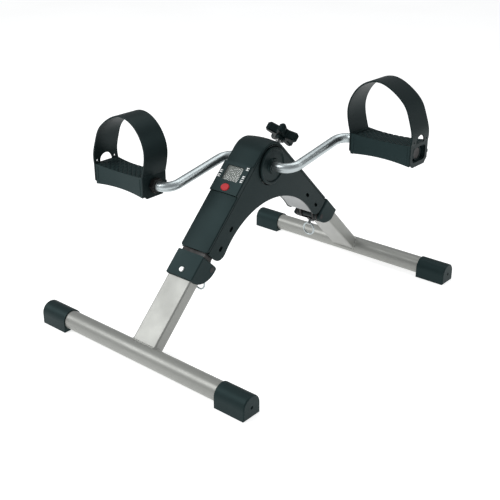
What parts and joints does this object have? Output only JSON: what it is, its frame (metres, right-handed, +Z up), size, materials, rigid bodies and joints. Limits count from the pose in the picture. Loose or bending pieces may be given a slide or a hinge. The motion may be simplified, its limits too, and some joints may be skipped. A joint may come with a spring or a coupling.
{
  "type": "pedal exerciser",
  "caption": "Folding floor pedal exerciser: arched housing on hinged tube legs with cross feet, crank with strapped pedals, friction brake knob and small pedalling counter",
  "frame": {"origin": "on the floor under the middle of the machine, at the bottom centre of its overall box", "axes": "+X to the right of someone who faces the display from the front and along the crank's hub shaft, +Y from the display side to the brake knob side and along the machine's length, +Z up"},
  "size_m": [0.38, 0.5074, 0.3354],
  "materials": {
    "cover_plastic": "satin moulded, faint texture",
    "bezel_plastic": "smooth moulded",
    "lens_clear": "clear, slightly grey-green",
    "display_glass": "grey-green liquid crystal face",
    "board_green": "circuit board",
    "cell_steel": "button cell can",
    "button_red": "satin red",
    "zinc_steel": "bright zinc-plated",
    "frame_grey": "grey primer",
    "disc_plastic": "satin moulded",
    "chrome_steel": "bright plated",
    "tube_paint": "warm silver-grey satin paint",
    "cap_plastic": "satin moulded",
    "pedal_plastic": "moulded, textured tread",
    "strap_plastic": "flexible, satin",
    "nylon_natural": "natural nylon",
    "nylon_black": "black nylon",
    "black_steel": "blackened",
    "knob_plastic": "satin moulded",
    "felt_band": "steel band lined with felt",
    "drum_iron": "turned, worn bright",
    "magnet_nickel": "nickel plated",
    "sensor_black": "potted sensor"
  },
  "bodies": {
    "housing": {"right_side_cover": "cover_plastic", "left_side_cover": "cover_plastic", "front_cover": "cover_plastic", "rear_cover": "cover_plastic", "dome_cover": "cover_plastic", "console_bezel": "bezel_plastic", "window_lens": "lens_clear", "display_module": "display_glass", "counter_board": "board_green", "button_cell": "cell_steel", "cover_screws": "zinc_steel", "inner_frame": "frame_grey", "right_hub_disc": "disc_plastic", "left_hub_disc": "disc_plastic", "crank_bushes": "nylon_natural", "friction_band": "felt_band", "band_anchor_pin": "zinc_steel", "reed_sensor": "sensor_black", "front_hinge_ears": "black_steel", "rear_hinge_ears": "black_steel"},
    "crank": {"crank_rod": "chrome_steel", "friction_drum": "drum_iron", "drum_magnet": "magnet_nickel", "spindle_lock_nuts": "black_steel", "spindle_end_nuts": "black_steel"},
    "right_pedal": {"right_pedal_body": "pedal_plastic", "right_foot_strap": "strap_plastic", "right_pedal_bushes": "nylon_natural"},
    "left_pedal": {"left_pedal_body": "pedal_plastic", "left_foot_strap": "strap_plastic", "left_pedal_bushes": "nylon_natural"},
    "knob": {"tension_knob": "knob_plastic", "tension_bolt": "zinc_steel"},
    "brake_nut": {"tension_nut": "zinc_steel"},
    "button": {"reset_button": "button_red"},
    "front_leg": {"front_leg_tube": "tube_paint", "front_foot_bar": "tube_paint", "front_foot_caps": "cap_plastic", "front_hinge_sleeve": "cap_plastic", "front_hinge_lugs": "black_steel", "front_hinge_pin": "black_steel", "front_hinge_spacers": "nylon_black", "front_sleeve_rivet": "zinc_steel", "front_lock_barrel": "black_steel", "front_lock_spring": "zinc_steel"},
    "front_lock": {"front_lock_plunger": "zinc_steel"},
    "front_ring": {"front_lock_ring": "chrome_steel"},
    "rear_leg": {"rear_leg_tube": "tube_paint", "rear_foot_bar": "tube_paint", "rear_foot_caps": "cap_plastic", "rear_hinge_sleeve": "cap_plastic", "rear_hinge_lugs": "black_steel", "rear_hinge_pin": "black_steel", "rear_hinge_spacers": "nylon_black", "rear_sleeve_rivet": "zinc_steel", "rear_lock_barrel": "black_steel", "rear_lock_spring": "zinc_steel"},
    "rear_lock": {"rear_lock_plunger": "zinc_steel"},
    "rear_ring": {"rear_lock_ring": "chrome_steel"}
  },
  "joints": [
    {"name": "rear_leg_fold", "type": "hinge", "parent": "housing", "child": "rear_leg", "pos_m": [0, 0.12551, 0.10288], "axis": [-1, 0, 0], "range_deg": [0, 90]},
    {"name": "front_leg_fold", "type": "hinge", "parent": "housing", "child": "front_leg", "pos_m": [0, -0.12551, 0.10288], "axis": [1, 0, 0], "range_deg": [0, 90]},
    {"name": "crank_spin", "type": "hinge", "parent": "housing", "child": "crank", "pos_m": [0, 0, 0.2189], "axis": [1, 0, 0], "continuous": true},
    {"name": "right_pedal_spin", "type": "hinge", "parent": "crank", "child": "right_pedal", "pos_m": [0.137, 0.12009, 0.2404], "axis": [1, 0, 0], "continuous": true},
    {"name": "left_pedal_spin", "type": "hinge", "parent": "crank", "child": "left_pedal", "pos_m": [-0.137, -0.12009, 0.1974], "axis": [1, 0, 0], "continuous": true},
    {"name": "knob_turn", "type": "hinge", "parent": "housing", "child": "knob", "pos_m": [0, 0.04491, 0.23793], "axis": [0, 0.7071, 0.7071], "range_deg": [-432, 432]},
    {"name": "brake_nut_slide", "type": "slide", "parent": "housing", "child": "brake_nut", "axis": [0, 0.7071, 0.7071], "range_m": [-0.0015, 0.0015], "deforming": ["friction_band"]},
    {"name": "button_press", "type": "slide", "parent": "housing", "child": "button", "axis": [0, 0.7071, -0.7071], "range_m": [0, 0.0015], "stiffness_N_per_m": 400, "springref_m": -0.001},
    {"name": "front_lock_pull", "type": "slide", "parent": "front_leg", "child": "front_lock", "axis": [0, 0.7071, -0.7071], "range_m": [0, 0.004], "stiffness_N_per_m": 600, "springref_m": -0.004, "deforming": ["front_lock_spring"]},
    {"name": "front_ring_swing", "type": "hinge", "parent": "front_lock", "child": "front_ring", "pos_m": [0, -0.12587, 0.08627], "axis": [1, 0, 0], "range_deg": [-60, 40]},
    {"name": "rear_lock_pull", "type": "slide", "parent": "rear_leg", "child": "rear_lock", "axis": [0, -0.7071, -0.7071], "range_m": [0, 0.004], "stiffness_N_per_m": 600, "springref_m": -0.004, "deforming": ["rear_lock_spring"]},
    {"name": "rear_ring_swing", "type": "hinge", "parent": "rear_lock", "child": "rear_ring", "pos_m": [0, 0.12587, 0.08627], "axis": [1, 0, 0], "range_deg": [-40, 60]}
  ],
  "couplings": [
    {"joint": "brake_nut_slide", "follows": "knob_turn", "m_per_rad": -0.000198}
  ]
}
